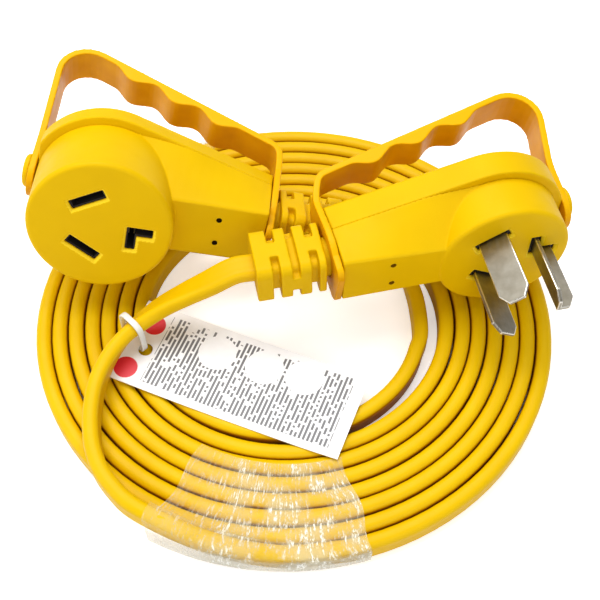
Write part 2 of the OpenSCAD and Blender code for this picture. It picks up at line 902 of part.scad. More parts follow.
// Least gap between neighbouring turns, from the rings' mid-height corners to the sides of
// the next turn out.
function line_gap(p, a, b) = abs((b.x - a.x) * (p.y - a.y) - (b.y - a.y) * (p.x - a.x))
    / norm([b.x - a.x, b.y - a.y]);
coil_rim = [for (i = [0:coil_rings]) let (r = ring(coil_path, i, coil_section, 0)) [r[2], r[5]]];
coil_least_gap = min([
    for (i = [0:coil_rings - rings_per_turn - 1], p = coil_rim[i], e = [0, 1])
        line_gap(p, coil_rim[i + rings_per_turn][e], coil_rim[i + rings_per_turn + 1][e])
]);
echo(coil_least_gap = coil_least_gap);

// Where the cable leaves each strain relief, and the way it leaves.
plug_exit = plug_at + turned([plug_tail_x + relief_len, 0, neck_z(plug)], plug_turn);
plug_way = turned([1, 0, 0], plug_turn);
socket_exit = socket_at + turned([socket_tail_x + relief_len, 0, neck_z(socket)], socket_turn);
socket_way = turned([1, 0, 0], socket_turn);
stub = cable_t + 1;

// The plug's lead climbs out of the outermost turn, crosses the turns below it and rises in
// a bow to the plug.
climb_start = 0.235;
climb_end = 0.355;
lead_low = 1.5 * cable_w + 0.45;
function climb(a) =
    cable_w / 2 + (lead_low - cable_w / 2) * smooth((a - climb_start) / (climb_end - climb_start));
plug_lead_path = concat(
    [coil_path[coil_rings], coil_path[coil_rings] + along(coil_path, coil_rings) * stub],
    [for (a = [0.25:0.0184:0.343]) coil_point(a, climb(a))],
    [
        [-72.3, -88.5, lead_low], [-78.5, -80.5, lead_low], [-82.6, -71.3, lead_low],
        [-84.8, -60.9, lead_low], [-85.3, -50.3, 20], [-84.2, -40.1, 21.2],
        [-80.8, -29.3, 22.4], [-74.8, -19.2, 23.8], [-66.9, -12.6, 26.6], [-57.9, -8.1, 31.2],
        [-47.1, -5.8, 37.6], [-37.1, -4.1, 43.2]
    ],
    [plug_exit + plug_way * stub, plug_exit]
);
plug_lead_rolls = [
    for (i = [0:len(plug_lead_path) - 1]) 88 * smooth((i - 12) / (len(plug_lead_path) - 14))
];

// The connector's lead drops to the plane and joins the innermost turn.  Each row is how far a
// bend is tied to the coil rather than to the connector, and its offset from that place.
socket_lead_bends = [
    [0.3, 5.2, 15.3, 1.1], [0.5, 4.9, 23.2, 1.3], [0.7, 3.7, 29.3, 1.5],
    [0.85, 3.0, 31.0, 1.1], [1, 0.8, 31.8, 1.5], [1, 2.3, 24.0, 0.2]
];
socket_lead_path = concat(
    [socket_exit, socket_exit + socket_way * stub],
    [
        for (b = socket_lead_bends)
            socket_exit * (1 - b[0]) + coil_path[0] * b[0] + [b[1], b[2], b[3]]
    ],
    [coil_path[0] - along(coil_path, 0) * stub, coil_path[0]]
);
socket_lead_rolls = [
    for (i = [0:len(socket_lead_path) - 1])
        71.5 * (1 - smooth((i - 1) / (len(socket_lead_path) - 4)))
];

// ---- label and tape ------------------------------------------------------------------------
// A thin solid between two equal grids of points, top above and bottom below.
module sheet_between(top, bottom) {
    rows = len(top);
    cols = len(top[0]);
    half = rows * cols;
    points = concat([for (r = top) each r], [for (r = bottom) each r]);
    skin = [
        for (i = [0:rows - 2], j = [0:cols - 2])
            let (a = i * cols + j, b = a + 1, c = b + cols, d = a + cols)
            each [[a, b, c], [a, c, d], [a + half, c + half, b + half], [a + half, d + half, c + half]]
    ];
    rim = concat(
        [for (j = [0:cols - 2]) [j, j + 1]],
        [for (i = [0:rows - 2]) [(i + 1) * cols - 1, (i + 2) * cols - 1]],
        [for (j = [cols - 2:-1:0]) [(rows - 1) * cols + j + 1, (rows - 1) * cols + j]],
        [for (i = [rows - 2:-1:0]) [(i + 1) * cols, i * cols]]
    );
    walls = [for (e = rim) each [[e.y, e.x, e.x + half], [e.y, e.x + half, e.y + half]]];
    polyhedron(points = points, faces = concat(skin, walls), convexity = 10);
}

// The film seen across the coil at turn a: distance from the coil's middle, and height.
// top is the height of the last turn's upper edge and drop how far the film hangs outside.
function film_profile(inner, outer, top, drop, off) =
    let (edge = outer - cable_t - film_room - off, high = top + film_room + off)
    [
        [inner, cable_w + off], [edge, cable_w + off], [edge, high],
        [outer + film_room + off, high], [outer + film_room + off, drop]
    ];
// Extra room for the film where the straight start of the plug's lead stands out of the turn.
function lead_room(a) = 0.65 * smooth(1 - abs(a - coil_end - 0.011) / 0.022);
function film_row(a, inner, top, drop, off) = [
    for (p = film_profile(inner, coil_radius(a) + cable_t / 2 + lead_room(a), top, drop, off))
        [coil_x + p.x * cos(360 * a), coil_y - p.x * sin(360 * a), p.y]
];
film_gap = 0.15;
film_room = 0.55;

module film(turns, inner, tops, drop) {
    rows = [for (i = [0:len(turns) - 1]) film_row(turns[i], inner, tops[i], drop, film_gap + film_t)];
    under = [for (i = [0:len(turns) - 1]) film_row(turns[i], inner, tops[i], drop, film_gap)];
    sheet_between(rows, under);
}

front_turns = [for (i = [0:12]) 0.203 + i * 0.0105];
rear_turns = [for (i = [0:4]) -0.358 + i * 0.0125];

// The tag's corner nearest the tie, and its turn; its long edge runs away from the tie.
tag_at = [-82.5, -33.5];
tag_turn = -21.4;
tag_hole = [9.9, 18.4];
tag_lift = 2.4;
function tag_height(s) = cable_w + 0.1 + tag_lift * pow(1 - clamp01(s / 60), 2)
    + 1.2 * pow(clamp01((s - 80) / 27), 2);

module paper_tag() {
    steps = 24;
    edge = [for (i = [0:steps]) let (s = tag_len * i / steps) [s, tag_height(s)]];
    translate([tag_at.x, tag_at.y, 0])
        rotate([0, 0, tag_turn])
            difference() {
                translate([0, tag_w, 0])
                    rotate([90, 0, 0])
                        linear_extrude(tag_w)
                            polygon(concat(
                                edge, [for (i = [steps:-1:0]) edge[i] + [0, tag_t]]));
                translate([tag_hole.x, tag_hole.y, 0])
                    cylinder(d = 6.4, h = 30, $fn = 24);
            }
}

// The tie: a closed strap around the lead and through the tag's hole, with its lock.
module tag_tie() {
    translate([-71.2, -16, 0])
        rotate([0, 0, 45])
            rotate([90, 0, 90])
                linear_extrude(tie_w, center = true)
                    translate([0, 22.8])
                        difference() {
                            round_rect(12 + 2 * tie_t, 18 + 2 * tie_t, 5);
                            round_rect(12, 18, 4);
                        }
}

color(body_yellow) at_plug() front_shell(plug, 1);  // plug_front_shell
color(body_yellow) at_plug() rear_shell(plug);  // plug_rear_shell
color(carrier_black) at_plug() blade_carrier();  // plug_blade_carrier
color(nickel) at_plug() line_blade(-1);  // plug_line_blade_upper
color(nickel) at_plug() line_blade(1);  // plug_line_blade_lower
color(nickel) at_plug() neutral_blade();  // plug_neutral_blade
color(nickel) at_plug() terminals(1, blade_back);  // plug_terminals
color(wire_red)  // plug_line_wires
        at_plug()
            line_wires(plug, blade_back);
color(wire_white)  // plug_neutral_wire
        at_plug()
            wire(plug, 0, blade_back);
color(body_yellow) at_plug() strain_relief(plug);  // plug_strain_relief
color(handle_yellow) at_plug() handle(plug, -plug_swing);  // plug_handle
color(body_yellow) at_plug() handle_rivet(plug);  // plug_handle_rivet
color(body_yellow)  // socket_front_shell
        at_socket()
            front_shell(socket, -1);
color(body_yellow) at_socket() rear_shell(socket);  // socket_rear_shell
color(carrier_black)  // socket_contact_carrier
        at_socket()
            contact_carrier();
color(nickel) at_socket() line_contact(1);  // socket_line_contact_upper
color(nickel) at_socket() line_contact(-1);  // socket_line_contact_lower
color(nickel) at_socket() neutral_contact();  // socket_neutral_contact
color(nickel)  // socket_terminals
        at_socket()
            terminals(-1, socket_back + contact_t);
color(wire_red)  // socket_line_wires
        at_socket()
            line_wires(socket, socket_back + contact_t);
color(wire_white)  // socket_neutral_wire
        at_socket()
            wire(socket, 0, socket_back + contact_t);
color(body_yellow)  // socket_strain_relief
        at_socket()
            strain_relief(socket);
color(handle_yellow)  // socket_handle
        at_socket()
            handle(socket, socket_swing);
color(body_yellow) at_socket() handle_rivet(socket);  // socket_handle_rivet
color(body_yellow)  // cord_coil
        cable_tube(coil_path, coil_section, [for (p = coil_path) 0]);
color(body_yellow)  // plug_lead
        cable_tube(plug_lead_path, lead_section, plug_lead_rolls);
color(body_yellow)  // socket_lead
        cable_tube(socket_lead_path, lead_section, socket_lead_rolls);
color("white") paper_tag();
color(wire_white) tag_tie();
color([0.9, 0.95, 1, 0.4])  // front_tape
        film(front_turns, 76, [for (a = front_turns) climb(a) + cable_w / 2], 1);
color([0.9, 0.95, 1, 0.4])  // rear_tape
        film(rear_turns, 64, [for (a = rear_turns) cable_w], 1);
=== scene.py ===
"""Looks of a shore power cord that is put away: a flat yellow cable wound on edge into a coil,
a plug and a connector with swinging pull handles, a hang tag, a tie and clear tape.

Everything is in metres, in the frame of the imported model.  Lengths given in millimetres are
turned into metres by MM.
"""

import math

import bmesh
import bpy
import numpy as np
from mathutils import Euler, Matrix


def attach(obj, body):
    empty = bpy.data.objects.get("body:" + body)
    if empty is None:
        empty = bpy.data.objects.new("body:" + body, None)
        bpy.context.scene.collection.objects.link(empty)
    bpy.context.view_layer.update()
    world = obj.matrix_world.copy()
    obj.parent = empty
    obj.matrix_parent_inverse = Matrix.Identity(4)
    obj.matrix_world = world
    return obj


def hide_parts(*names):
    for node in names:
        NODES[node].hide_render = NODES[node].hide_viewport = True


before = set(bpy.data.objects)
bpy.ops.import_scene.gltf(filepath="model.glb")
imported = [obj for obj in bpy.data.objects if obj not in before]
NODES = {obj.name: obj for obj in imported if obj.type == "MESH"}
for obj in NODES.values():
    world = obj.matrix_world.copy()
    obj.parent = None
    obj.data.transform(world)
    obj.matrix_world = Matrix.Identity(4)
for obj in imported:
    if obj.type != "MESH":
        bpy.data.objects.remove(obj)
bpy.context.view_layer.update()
ROOT = "cord"
MM = 0.001
WELD = 0.002 * MM
EVEN_PASSES = 150
BEVEL_W = 0.45 * MM


# ---- helpers for meshes ----------------------------------------------------------------------
def new_piece(name, points, faces, body=ROOT, smooth=True):
    """A mesh object from an array of points and a list of faces, riding on a body."""
    mesh = bpy.data.meshes.new(name)
    mesh.from_pydata(np.asarray(points, float).tolist(), [], [[int(i) for i in f] for f in faces])
    mesh.update()
    mesh.polygons.foreach_set("use_smooth", np.full(len(mesh.polygons), smooth))
    piece = bpy.data.objects.new(name, mesh)
    bpy.context.scene.collection.objects.link(piece)
    if body:
        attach(piece, body)
    return piece


def grid_faces(rows, cols, closed=False):
    """Quads of a grid of rows by cols points, as an array; closed joins the last column to the
    first."""
    strips = cols if closed else cols - 1
    i, j = np.divmod(np.arange((rows - 1) * strips), strips)
    a, b = i * cols + j, i * cols + (j + 1) % cols
    return np.column_stack([a, b, b + cols, a + cols])


def corner_arcs(width, height, r, steps):
    """The rounded corners of a rectangle, counter-clockwise from the one with x and y above 0:
    an array of corner, step, and x, y and the outward direction.  A point is its arc's centre
    plus r times the cosine and sine of an angle that runs through a right angle a corner."""
    sx, sy = np.array([(1, 1), (-1, 1), (-1, -1), (1, -1)]).T[..., None]
    a = np.radians(90 * np.arange(4)[:, None] + 90 * np.arange(steps) / (steps - 1))
    return np.stack([sx * (width / 2 - r) + r * np.cos(a),
                     sy * (height / 2 - r) + r * np.sin(a), np.cos(a), np.sin(a)], -1)


def set_uv(piece, name, rows):
    """Gives a piece a UV map from one row of u and v for each of its points."""
    layer = piece.data.uv_layers.new(name=name)
    index = np.zeros(len(piece.data.loops), np.int32)
    piece.data.loops.foreach_get("vertex_index", index)
    layer.data.foreach_set("uv", rows[index].astype(np.float32).ravel())


def bake(piece, smooth):
    """Replaces a piece's mesh by what its modifiers make of it, and takes them off."""
    bpy.context.view_layer.update()
    seen = piece.evaluated_get(bpy.context.evaluated_depsgraph_get())
    mesh = bpy.data.meshes.new_from_object(seen)
    piece.modifiers.clear()
    piece.data = mesh
    mesh.polygons.foreach_set("use_smooth", np.full(len(mesh.polygons), smooth))


def cad_points(node):
    """The points and faces of a CAD node, with points closer than WELD merged."""
    shape = bmesh.new()
    shape.from_mesh(NODES[node].data)
    bmesh.ops.remove_doubles(shape, verts=shape.verts, dist=WELD)
    points = [tuple(v.co) for v in shape.verts]
    faces = [tuple(v.index for v in f.verts) for f in shape.faces]
    shape.free()
    return points, faces


def relax(piece, name, passes, group=""):
    """Moves each point halfway to the mean of its neighbours, passes times."""
    modifier = piece.modifiers.new(name, "SMOOTH")
    modifier.factor = 0.5
    modifier.iterations = passes
    modifier.vertex_group = group


def moulded(name, node, body=ROOT, voxel=0.6, passes=3, keep=0.5, even=None):
    """A CAD node with softly rounded edges, as moulded plastic has: its shape is remeshed in
    cubes of voxel millimetres and laid back on the node's surface, its points are relaxed, and
    faces are merged until the share called keep is left.  Points picked by even(points) are
    first relaxed EVEN_PASSES times."""
    piece = new_piece(name, *cad_points(node), body)
    remesh = piece.modifiers.new("remesh", "REMESH")
    remesh.mode = "VOXEL"
    remesh.voxel_size = voxel * MM
    lay = piece.modifiers.new("lay", "SHRINKWRAP")
    lay.target = NODES[node]
    if even:
        bake(piece, True)
        points = np.empty(len(piece.data.vertices) * 3)
        piece.data.vertices.foreach_get("co", points)
        picked = piece.vertex_groups.new(name="evened")
        picked.add(np.flatnonzero(even(points.reshape(-1, 3))).tolist(), 1.0, "REPLACE")
        relax(piece, "flow", EVEN_PASSES, picked.name)
    relax(piece, "soften", passes)
    thin = piece.modifiers.new("thin", "DECIMATE")
    thin.ratio = keep
    bake(piece, True)
    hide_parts(node)
    return piece


def mark(piece, name, rate):
    """Keeps a number from 0 to 1 at each point, for a material: rate(points, normals)."""
    mesh = piece.data
    points, normals = np.empty((2, len(mesh.vertices) * 3))
    mesh.vertices.foreach_get("co", points)
    mesh.vertices.foreach_get("normal", normals)
    values = rate(points.reshape(-1, 3), normals.reshape(-1, 3)).astype(float)
    mesh.attributes.new(name, "FLOAT", "POINT").data.foreach_set("value", values)


def bevelled(name, node):
    """A CAD node whose sharp edges carry a narrow bevel, as cut and tumbled metal has; the
    bevels take the piece's second material, which paints a highlight on them."""
    piece = new_piece(name, *cad_points(node), smooth=False)
    piece.data.materials.append(None)
    piece.data.materials.append(None)
    flat = piece.modifiers.new("flat", "DECIMATE")
    flat.decimate_type = "DISSOLVE"
    flat.angle_limit = math.radians(2)
    edge = piece.modifiers.new("edge", "BEVEL")
    edge.width = BEVEL_W
    edge.segments = 2
    edge.limit_method = "ANGLE"
    edge.angle_limit = math.radians(25)
    edge.material = 1
    bake(piece, False)
    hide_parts(node)
    return piece


# ---- helpers for materials -------------------------------------------------------------------
class Shader:
    """A material's node tree, with short calls for the nodes it is built from."""

    def __init__(self, name):
        self.material = bpy.data.materials.new(name)
        self.material.use_nodes = True
        self.tree = self.material.node_tree
        self.out = self.tree.nodes["Principled BSDF"]
        self.place = self.add("ShaderNodeTexCoord").outputs["Object"]

    def add(self, kind, **settings):
        """A new node of a kind, with its settings."""
        node = self.tree.nodes.new(kind)
        for key, value in settings.items():
            setattr(node, key, value)
        return node

    def link(self, a, b):
        self.tree.links.new(a, b)

    def feed(self, **sources):
        """Links outputs to sockets of the shader; an underscore in a name stands for a space."""
        for key, source in sources.items():
            self.link(source, self.out.inputs[key.replace("_", " ")])

    def set(self, **values):
        """Sets sockets of the shader; an underscore in a name stands for a space."""
        for key, value in values.items():
            self.out.inputs[key.replace("_", " ")].default_value = value

    def noise(self, scale, detail=3.0, stretch=(1, 1, 1), rough=0.5, place=None):
        """Noise with features of about 1/scale, longer along an axis whose stretch is below 1
        and shorter along one where it is above."""
        turn = self.add("ShaderNodeMapping")
        turn.inputs["Scale"].default_value = stretch
        self.link(place or self.place, turn.inputs["Vector"])
        node = self.add("ShaderNodeTexNoise")
        node.inputs["Scale"].default_value = scale
        node.inputs["Detail"].default_value = detail
        node.inputs["Roughness"].default_value = rough
        self.link(turn.outputs["Vector"], node.inputs["Vector"])
        return node.outputs["Fac"]

    def uv(self, name):
        """A UV map of the piece, and its u and v."""
        sheet = self.add("ShaderNodeUVMap", uv_map=name).outputs["UV"]
        split = self.add("ShaderNodeSeparateXYZ")
        self.link(sheet, split.inputs["Vector"])
        return sheet, split.outputs["X"], split.outputs["Y"]

    def span(self, value, low, high, to_low, to_high):
        """A value from low to high, spread over to_low to to_high and held there."""
        node = self.add("ShaderNodeMapRange")
        for key, number in (("From Min", low), ("From Max", high),
                            ("To Min", to_low), ("To Max", to_high)):
            node.inputs[key].default_value = number
        self.link(value, node.inputs["Value"])
        return node.outputs["Result"]

    def math(self, kind, a, b=None):
        """One operation of a kind on a and b, each a number or an output."""
        node = self.add("ShaderNodeMath", operation=kind)
        for socket, value in zip(node.inputs, (a, b)):
            if isinstance(value, (int, float)):
                socket.default_value = value
            elif value is not None:
                self.link(value, socket)
        return node.outputs["Value"]

    def product(self, *parts):
        """All parts multiplied, from the left."""
        total = parts[0]
        for part in parts[1:]:
            total = self.math("MULTIPLY", total, part)
        return total

    def mix(self, amount, a, b):
        """Colour a at amount 0 and colour b at amount 1, each a colour or an output."""
        node = self.add("ShaderNodeMix", data_type="RGBA")
        self.link(amount, node.inputs["Factor"])
        for index, value in ((6, a), (7, b)):
            if isinstance(value, (tuple, list)):
                node.inputs[index].default_value = (*value, 1)
            else:
                self.link(value, node.inputs[index])
        return node.outputs[2]

    def bump(self, height, strength, distance):
        """Raises and sinks the surface by a height, over a distance in metres."""
        node = self.add("ShaderNodeBump")
        node.inputs["Strength"].default_value = strength
        node.inputs["Distance"].default_value = distance
        self.link(height, node.inputs["Height"])
        self.feed(Normal=node.outputs["Normal"])

    def overlay(self, amount, colour):
        """Blends the base colour into another one."""
        base = self.out.inputs["Base Color"].links[0].from_socket
        self.feed(Base_Color=self.mix(amount, base, colour))

    def tint(self, name, colour):
        """Blends in a colour by a number kept at the piece's points."""
        self.overlay(self.add("ShaderNodeAttribute", attribute_name=name).outputs["Fac"], colour)

    def spots(self, points, radius, colour):
        """Paints round spots of a colour on the base colour, at points of the object."""
        mask = 0.0
        for point in points:
            far = self.add("ShaderNodeVectorMath", operation="DISTANCE")
            far.inputs[1].default_value = [float(x) for x in point]
            self.link(self.place, far.inputs[0])
            mask = self.math("MAXIMUM", self.math("LESS_THAN", far.outputs["Value"], radius), mask)
        self.overlay(mask, colour)

    def wear(self, piece_list):
        """Makes this the only material of each piece."""
        for piece in piece_list:
            piece.data.materials.clear()
            piece.data.materials.append(self.material)


def plastic(name, light, dark, rough, grain, depth, gloss=0.15):
    """Moulded plastic: two close colours in soft clouds, fine grain and a slight gloss."""
    s = Shader(name)
    s.feed(Base_Color=s.mix(s.span(s.noise(55), 0.35, 0.65, 0, 1), light, dark),
           Roughness=s.span(s.noise(180, 4), 0.3, 0.7, rough - 0.05, rough + 0.06))
    s.bump(s.noise(grain, 4), depth, 0.0002)
    s.set(Specular_IOR_Level=gloss)
    return s


def metal(name, light, dark, rough, stretch):
    """Plated sheet metal: fine brush lines along one axis, and soft stains."""
    s = Shader(name)
    lines = s.noise(900, 3, stretch)
    s.feed(Base_Color=s.mix(s.span(s.noise(160, 4), 0.35, 0.65, 0, 1), light, dark),
           Roughness=s.span(lines, 0.3, 0.7, rough - 0.06, rough + 0.1))
    s.bump(lines, 0.12, 0.0001)
    s.set(Metallic=1.0)
    return s


# ---- places and sizes of the housings --------------------------------------------------------
RELIEF_LEN = 34.8  # of the strain relief, past the tail's end
CABLE_RISE = 17.5  # of the cable's middle over a housing's back
PIN_IN = 22.5  # from the tail's end to its two pin holes
PIN_SIDE = 6  # of each pin hole from the middle
PIN_DEPTH = 0.7  # of each pin hole's painted shade spot under the tail's front


class Housing:
    """A housing's place and sizes, in millimetres.  Its own axes start in the middle of its
    round face: x runs along the tail and z out of the face, so all that lies behind the face
    has a z below 0."""

    def __init__(self, face, turn, round_r, tail_x, front, seam, back):
        self.face = np.array(face) * MM
        self.axes = np.array(Euler([math.radians(a) for a in turn], "XYZ").to_matrix())
        self.round_r = round_r  # radius of the round part
        self.tail_x = tail_x  # where the tail ends
        self.front = front  # depth of the tail's flat front
        self.seam = seam  # depth of the seam between the front and the rear cover
        self.back = back  # depth of the back

    def at(self, x, y, z):
        """A point of the housing, in metres in the model's frame."""
        return self.face + self.axes @ (np.array([x, y, z]) * MM)

    def local(self, points):
        """The x, y and z of points of the model, in millimetres on the housing's own axes."""
        return ((points - self.face) @ self.axes / MM).T

    def cable_exit(self):
        """Where the cable leaves the strain relief, in millimetres in the model's frame."""
        return self.at(self.tail_x + RELIEF_LEN, 0, CABLE_RISE - self.back) / MM

    def pin_holes(self):
        """The middles of the two pin holes in the tail's front, where spots of painted shade go.
        """
        return [self.at(self.tail_x - PIN_IN, y, -self.front - PIN_DEPTH)
                for y in (-PIN_SIDE, PIN_SIDE)]

    def on_lip(self, points, normals):
        """Marks the sloping lips of the holes through the round face, which get a painted light.
        """
        x, y, z = self.local(points)
        return (np.hypot(x, y) < self.round_r - 3) & (z < -0.1) & (z > -1.25)

    def on_tail_side(self, points):
        """Picks the points on the sloping sides of the tail, clear of the sides' borders: the
        round part, the tail's end, its flat front and the seam."""
        x, y, z = self.local(points)
        return ((np.hypot(x, y) > self.round_r + 0.9) & (x > 0) & (x < self.tail_x - 1.6)
                & (z < -self.front - 1.3) & (z > 0.9 - self.seam))


PLUG = Housing((89.1, 5.7, 48), (-87.9, 0, -168.8), 28.9, 71.4, 0.8, 19.2, 33.8)
SOCKET = Housing((-83.1, 13.3, 59.2), (71.4, 13.2, -0.5), 31.1, 72.6, 10, 33.2, 44.4)


def painted_rim_light_mask(points, normals):
    """Marks a strap's narrow sides, whose normals lie along its thinnest extent, for a painted
    light.
    """
    axis = np.linalg.svd(points - points.mean(axis=0), full_matrices=False)[2][2]
    return np.clip(np.abs(normals @ axis) * 1.6 - 0.5, 0, 1)


# ---- the cable -------------------------------------------------------------------------------
CABLE_W, CABLE_T = 12.5, 6.8
COIL_X, COIL_Y = -3.1, 2.0
PITCH = 7.3  # from turn to turn
RADIUS, OVAL = 113.4, 2.1  # the coil's mean radius at turn 0, and how far it swings about it
STEPS_A_TURN, COIL_STEPS = 96, 688
COIL_START, COIL_END = -6.95, -6.95 + COIL_STEPS / STEPS_A_TURN
STUB = CABLE_T + 1  # straight length at each end of a lead
GRIPPED = 6  # length inside a strain relief
SOCKET_ROLL, PLUG_ROLL = 71.5, 88
LEAD_LOW = 1.5 * CABLE_W + 0.45  # the plug's lead where it lies on the coil
SOCKET_EXIT, PLUG_EXIT = SOCKET.cable_exit(), PLUG.cable_exit()
FREE_SHADE = 0.16  # share of the painted shade on a wide flat side that stands free


def ease(u):
    """0 below 0 and 1 above 1, and between them three times u squared less twice u cubed."""
    u = np.clip(u, 0, 1)
    return u * u * (3 - 2 * u)


def coil_radius(a):
    """The coil's radius after a turns: RADIUS, plus PITCH times a, plus OVAL times the cosine
    of twice the angle."""
    return RADIUS + PITCH * a + OVAL * np.cos(4 * np.pi * a)


def coil_point(a, z=CABLE_W / 2):
    """Points of the coil in millimetres after a turns clockwise, at height z.  The radius is
    coil_radius, less a slack of 4.5 mm at the inner end that fades by a square over 0.45 turns,
    plus a sine wave of 0.1 mm, 2.37 waves a turn, that fades out over the last 0.1 turns."""
    slack = 4.5 * (1 - np.clip((a - COIL_START) / 0.45, 0, 1)) ** 2
    r = coil_radius(a) - slack
    r = r + 0.1 * np.sin(2 * np.pi * 2.37 * a) * np.clip((COIL_END - a) / 0.1, 0, 1)
    t = 2 * np.pi * a
    return np.stack(np.broadcast_arrays(COIL_X + r * np.cos(t), COIL_Y - r * np.sin(t), z), -1)


def climb(a):
    """Height of the plug's lead while it climbs out of the outermost turn: eased from half the
    cable's width to LEAD_LOW, from turn 0.235 over 0.12 turns."""
    return CABLE_W / 2 + (LEAD_LOW - CABLE_W / 2) * ease((a - 0.235) / 0.12)


def catmull(keys, steps=6):
    """A smooth curve through the key rows, by centripetal Catmull-Rom spans: rows are blended
    three times in pairs, each time by how far a value has come between the pair's knots, which
    lie the square root of the distance apart."""
    keys = np.asarray(keys, float)
    ends = np.vstack([2 * keys[0] - keys[1], keys, 2 * keys[-1] - keys[-2]])
    gap = np.linalg.norm(np.diff(ends[:, :3], axis=0), axis=1) ** 0.5
    knot = np.concatenate([[0], np.cumsum(gap)])
    spans = []
    for i in range(len(keys) - 1):
        p, k = ends[i:i + 4], knot[i:i + 4]
        t = np.linspace(k[1], k[2], steps, endpoint=False)[:, None]
        a = [((k[j + 1] - t) * p[j] + (t - k[j]) * p[j + 1]) / (k[j + 1] - k[j])
             for j in range(3)]
        b = [((k[j + 2] - t) * a[j] + (t - k[j]) * a[j + 1]) / (k[j + 2] - k[j])
             for j in range(2)]
        spans.append(((k[2] - t) * b[0] + (t - k[1]) * b[1]) / (k[2] - k[1]))
    return np.vstack([*spans, keys[-1:]])


def directions(points):
    """Unit vectors along a row of points: each from the point before to the point after."""
    ends = np.vstack([points[:1], points, points[-1:]])
    way = ends[2:] - ends[:-2]
    return way / np.linalg.norm(way, axis=1, keepdims=True)


def cable_route():
    """Rows of x, y, z, roll and two covers from the connector to the plug: its lead, the coil
    and the plug's lead.  Roll is 0 where the cable stands on edge and 90 where it lies flat.
    The covers are 1 where the next turn hides the inner and the outer side, which then
    get the full painted shade."""
    turns = COIL_START + np.arange(COIL_STEPS + 1) / STEPS_A_TURN
    coil = coil_point(turns)
    way = SOCKET.axes[:, 0]
    first = [SOCKET_EXIT - way * GRIPPED, SOCKET_EXIT, SOCKET_EXIT + way * STUB,
             (35.2, 36.9, 21.4), (41.7, 33.9, 17.6), (47.3, 29.1, 13.8), (51.7, 22.7, 10.4),
             (54.6, 15.3, 7.8), (56.1, 7.5, 6.5), coil[0] - directions(coil)[0] * STUB, coil[0]]
    rolls = [SOCKET_ROLL * (1 - ease((i - 2) / 6)) for i in range(len(first))]
    first = catmull([(*p, r, 0, 0) for p, r in zip(first, rolls)])
    way = PLUG.axes[:, 0]
    rising = 0.25 + 0.0184 * np.arange(6)
    last = [coil[-1], *coil_point(rising, climb(rising))]
    last += [(-72.3, -88.5, LEAD_LOW), (-78.5, -80.5, LEAD_LOW), (-82.6, -71.3, LEAD_LOW),
             (-84.8, -60.9, LEAD_LOW), (-85.3, -50.3, 20), (-84.2, -40.1, 21.2),
             (-80.8, -29.3, 22.4), (-74.8, -19.2, 23.8), (-66.9, -12.6, 26.6),
             (-57.9, -8.1, 31.2), (-47.1, -5.8, 37.6), (-37.1, -4.1, 43.2),
             PLUG_EXIT + way * STUB, PLUG_EXIT, PLUG_EXIT - way * GRIPPED]
    rolls = [PLUG_ROLL * ease((i - 11) / 8) for i in range(len(last))]
    last = catmull([(*p, r, float(i < 4), 0) for i, (p, r) in enumerate(zip(last, rolls))])
    middle = np.column_stack([coil, np.zeros(len(coil)), ease((turns - COIL_START - 1) * 50),
                              ease((COIL_END - 1 - turns) * 50)])
    return np.vstack([first, middle[1:-1], last])


def cable_section():
    """The cable's section: a rounded rectangle, CABLE_T across and CABLE_W along.  Its long
    sides dip between the three cores by 0.1 mm times half of one less the cosine of the way
    along the side, with a wave of 3.6 mm."""
    arcs = corner_arcs(CABLE_T, CABLE_W, 2.9, 7)[..., :2]
    y = np.array([2.4, 1.2, 0, -1.2, -2.4])
    dip = 0.1 * (1 - np.cos(2 * np.pi * y / 3.6)) / 2
    flank = np.column_stack([CABLE_T / 2 - dip, -y])
    return np.vstack([arcs[0], arcs[1], -flank, arcs[2], arcs[3], flank])


def make_cable():
    """One unbroken tube: the section carried along the route.  A point is the route's point
    plus the section's x times a vector across the way and its y times one along the section's
    long side; both are level and upright at roll 0 and turn about the way by the roll.  The
    wide flat sides get a painted shade: fully where the next turn hides them, and by
    FREE_SHADE where they stand free."""
    route, section = cable_route(), cable_section()
    way = directions(route[:, :3])
    side = np.cross(way, (0, 0, 1))
    side /= np.linalg.norm(side, axis=1, keepdims=True)
    up = np.cross(side, way)
    roll = np.radians(route[:, 3:4])
    c, s = np.cos(roll), np.sin(roll)
    across, wide = side * c - up * s, up * c + side * s
    rings = (route[:, None, :3] + section[:, :1] * across[:, None]
             + section[:, 1:] * wide[:, None])
    count, n = rings.shape[:2]
    faces = [*grid_faces(count, n, closed=True), range(n)[::-1], range((count - 1) * n, count * n)]
    cable = new_piece("cable", rings.reshape(-1, 3) * MM, faces)
    # painted shade on the wide flat sides, full in the grooves between turns
    painted_flank_shade = np.clip((np.abs(section[:, 0]) - CABLE_T / 2 + 0.45) / 0.35, 0, 1)
    cover = np.where(section[:, 0] > 0, route[:, 4:5], route[:, 5:6])
    shade = painted_flank_shade * (FREE_SHADE + (1 - FREE_SHADE) * cover)
    mark(cable, "painted_flank_shade", lambda points, normals: shade.ravel())
    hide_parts("cord_coil", "plug_lead", "socket_lead")
    return cable, route[:, :3] * MM


# ---- paper tag and tie -----------------------------------------------------------------------
TAG_AT, TAG_TURN = (-82.5, -33.5), math.radians(-21.4)
TAG_W, TAG_LEN, TAG_T = 42, 107, 0.5
TAG_HOLE, HOLE_R = (9.9, 18.4), 3.2
TIE_AT, TIE_TURN = (-71.2, -16.0, 22.8), math.radians(45)
TIE_SIZE, TIE_CORNER = (12 + 1.1, 18 + 1.1), 4.6  # the loop's width and height at mid strap


def tag_height(s):
    """Height of the tag's underside, s millimetres from its tied end: 0.1 mm over the coil,
    plus 2.4 mm at the tied end that fade by a square over 60 mm, plus 1.2 mm at the free end
    that grow by a square from 80 mm on."""
    return (CABLE_W + 0.1 + 2.4 * (1 - np.clip(s / 60, 0, 1)) ** 2
            + 1.2 * np.clip((s - 80) / 27, 0, 1) ** 2)


